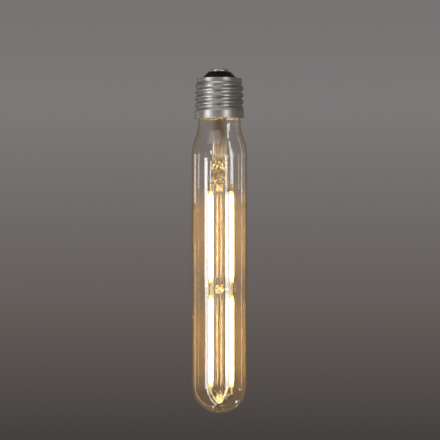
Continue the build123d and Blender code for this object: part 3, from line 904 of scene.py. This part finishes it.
# each strip: rig, bearing from the camera's side, width, low edge and high edge in degrees, brightness
strips = {
    "key": ("far", -57.5, 14, 1.6, 3.4, 7.0),
    "keyMiddle": ("far", -55.2, 18.5, -3.6, 1.6, 7.0),
    "keyFoot": ("far", -53.8, 15.5, -12, -3.5, 6.0),
    "keyTurn": ("far", -51.5, 9, -33, -11.9, 6.0),
    "keyLow": ("near", -49, 6, -76, -28, 4.0),
    "side": ("far", -97, 7, 1.7, 4.0, 2.2),
    "rear": ("far", -122, 9, 0.9, 4.0, 2.4),
    "rearFoot": ("far", -121, 6, -33, -1.2, 1.1),
    "rearLow": ("near", -121, 6, -76, -28, 1.0),
    "inner": ("far", -37, 4, 1.8, 3.2, 6.0),
    "front": ("far", -17.5, 3.5, -9, 1.6, 2.0),
    "right": ("far", 28, 8, 1.5, 3.8, 4.0),
    "rightFoot": ("far", 33, 17, -10, 1.5, 6.0),
    "glint": ("near", 117, 5, -43, -38, 9.0),
    "glintBeside": ("near", 130, 2, -33.5, -30.5, 3.0),
    "glintLow": ("near", 156, 4, -30, -28, 0.9),
    "glintSide": ("near", 93, 3, -16, -9, 6.0),
    "overhead": ("over", -25, 50, 28, 68, 0.9),
}
stripTint = "#f6f8ff"


def makeFloor(size):
    # round floor, rings of points out to its edge, where it fades away; mirrors and the view from below miss it
    count, columns = size["rings"], size["columns"]
    rings = np.linspace(2, size["floorRadius"], count)[:, None]
    angle = roundAngles(columns)
    floorZ = tipZ - size["floorDrop"]
    points = np.stack(np.broadcast_arrays(rings * np.cos(angle), rings * np.sin(angle), floorZ), 2)
    row = np.arange(count - 1)[:, None] * columns
    column = np.arange(columns)[None]
    beside = (column + 1) % columns
    quads = np.stack([row + column, row + columns + column, row + columns + beside, row + beside], 2)
    mesh = bpy.data.meshes.new("floor")
    faces = quads.reshape(-1, 4).tolist() + [list(range(columns))]
    mesh.from_pydata((points.reshape(-1, 3) * mm).tolist(), [], faces)
    material, tree = newMaterial("pale studio floor")
    place = addNode(tree, "TexCoord")
    level = addNode(tree, "VectorMath", {0: place.outputs["Object"], 1: (1, 1, 0)}, operation="MULTIPLY")
    reach = addNode(tree, "VectorMath", {0: level.outputs[0]}, operation="LENGTH")
    fade = addNode(tree, "MapRange", {
        0: reach.outputs["Value"], 1: (size["floorRadius"] - size["floorFade"]) * mm, 2: size["floorRadius"] * mm,
    }, interpolation_type="SMOOTHSTEP")
    cover = addNode(tree, "BsdfPrincipled", {"Base Color": linear(size["floor"]), "Roughness": 0.8})
    gone = addNode(tree, "BsdfTransparent")
    path = addNode(tree, "LightPath")
    mirrored = addNode(tree, "Math", {0: path.outputs["Glossy Depth"], 1: 0.5}, operation="GREATER_THAN")
    hidden = addNode(tree, "Math", {0: fade.outputs[0], 1: mirrored.outputs[0]}, operation="MAXIMUM")
    face = addNode(tree, "NewGeometry")
    clear = addNode(tree, "Math", {0: hidden.outputs[0], 1: face.outputs["Backfacing"]}, operation="MAXIMUM")
    mix = addNode(tree, "MixShader", {0: clear.outputs[0], 1: cover.outputs[0], 2: gone.outputs[0]})
    addNode(tree, "OutputMaterial", {"Surface": mix.outputs[0]})
    mesh.materials.append(material)
    floor = bpy.data.objects.new("floor", mesh)
    bpy.context.scene.collection.objects.link(floor)


def makeWorld(size):
    # camera, mirror and glass rays see a plain grey, palest at eye level, and the rest get an even fill; a ray
    # that leaves the glass after one to three passes sees the dark warm edge colour, a painted shade on the
    # glass's rims
    world = bpy.data.worlds.new("studio")
    bpy.context.scene.world = world
    world.use_nodes = True
    tree = world.node_tree
    tree.nodes.clear()
    place = addNode(tree, "TexCoord")
    parts = addNode(tree, "SeparateXYZ", {0: place.outputs["Generated"]})
    height = addNode(tree, "MapRange", {0: parts.outputs["Z"], 1: size["greySpan"][0], 2: size["greySpan"][1]})
    ramp = addNode(tree, "ValToRGB", {0: height.outputs[0]})
    addStops(ramp, size["greys"])
    path = addNode(tree, "LightPath")
    # painted shade: rays that have passed one to three glass surfaces see the edge colour instead of the grey
    edge = addNode(tree, "Math", {0: path.outputs["Transmission Depth"], 1: 2.0, 2: 1.2}, operation="COMPARE")
    shade = addNode(tree, "Mix", {0: edge.outputs[0], 6: ramp.outputs[0], 7: linear(size["edge"])},
                    data_type="RGBA")
    seen = addNode(tree, "Background", {0: shade.outputs[2], 1: 1.0})
    fill = addNode(tree, "Background", {0: linear(size["fillTint"]), 1: size["fill"]})
    first = addNode(tree, "Math", {0: path.outputs["Is Camera Ray"], 1: path.outputs["Is Glossy Ray"]},
                    operation="MAXIMUM")
    both = addNode(tree, "Math", {0: first.outputs[0], 1: path.outputs["Is Transmission Ray"]},
                   operation="MAXIMUM")
    mix = addNode(tree, "MixShader", {0: both.outputs[0], 1: fill.outputs[0], 2: seen.outputs[0]})
    addNode(tree, "OutputWorld", {"Surface": mix.outputs[0]})


def makeStrip(name, rig, bearing, width, low, high, light):
    # area lamp on a sphere round the bulb's axis, facing it; its power is 4 * area * the brightness wanted;
    # it goes dark for an eye that looks straight through both walls, four passes or more and no mirror
    away, level = (length * mm for length in rigs[rig])
    side = np.radians(bearing)
    middle = np.radians((low + high) / 2)
    data = bpy.data.lights.new(name + "_strip", "AREA")
    data.shape = "RECTANGLE"
    data.size = 2 * away * np.tan(np.radians(width / 2))
    data.size_y = 2 * away * np.tan(np.radians((high - low) / 2))
    data.energy = 4 * data.size * data.size_y * light
    data.color = linear(stripTint)[:3]
    lamp = bpy.data.objects.new(data.name, data)
    bpy.context.scene.collection.objects.link(lamp)
    outward = Vector((np.cos(middle) * np.sin(side), -np.cos(middle) * np.cos(side), np.sin(middle)))
    lamp.location = outward * away + Vector((0, 0, level))
    lamp.rotation_mode = "QUATERNION"
    lamp.rotation_quaternion = (-outward).to_track_quat("-Z", "Y")
    lamp.visible_camera = False
    data.use_nodes = True
    tree = data.node_tree
    tree.nodes.clear()
    path = addNode(tree, "LightPath")
    near = addNode(tree, "Math", {0: path.outputs["Transmission Depth"], 1: 3.5}, operation="LESS_THAN")
    mirrored = addNode(tree, "Math", {0: path.outputs["Glossy Depth"], 1: 0.5}, operation="GREATER_THAN")
    shown = addNode(tree, "Math", {0: near.outputs[0], 1: mirrored.outputs[0]}, operation="MAXIMUM")
    glow = addNode(tree, "Emission", {"Strength": shown.outputs[0]})
    addNode(tree, "OutputLight", {"Surface": glow.outputs[0]})


makeFloor(studio)
makeWorld(studio)
for name, values in strips.items():
    makeStrip(name, *values)
bpy.context.scene.view_settings.view_transform = "Standard"
print("studio set")
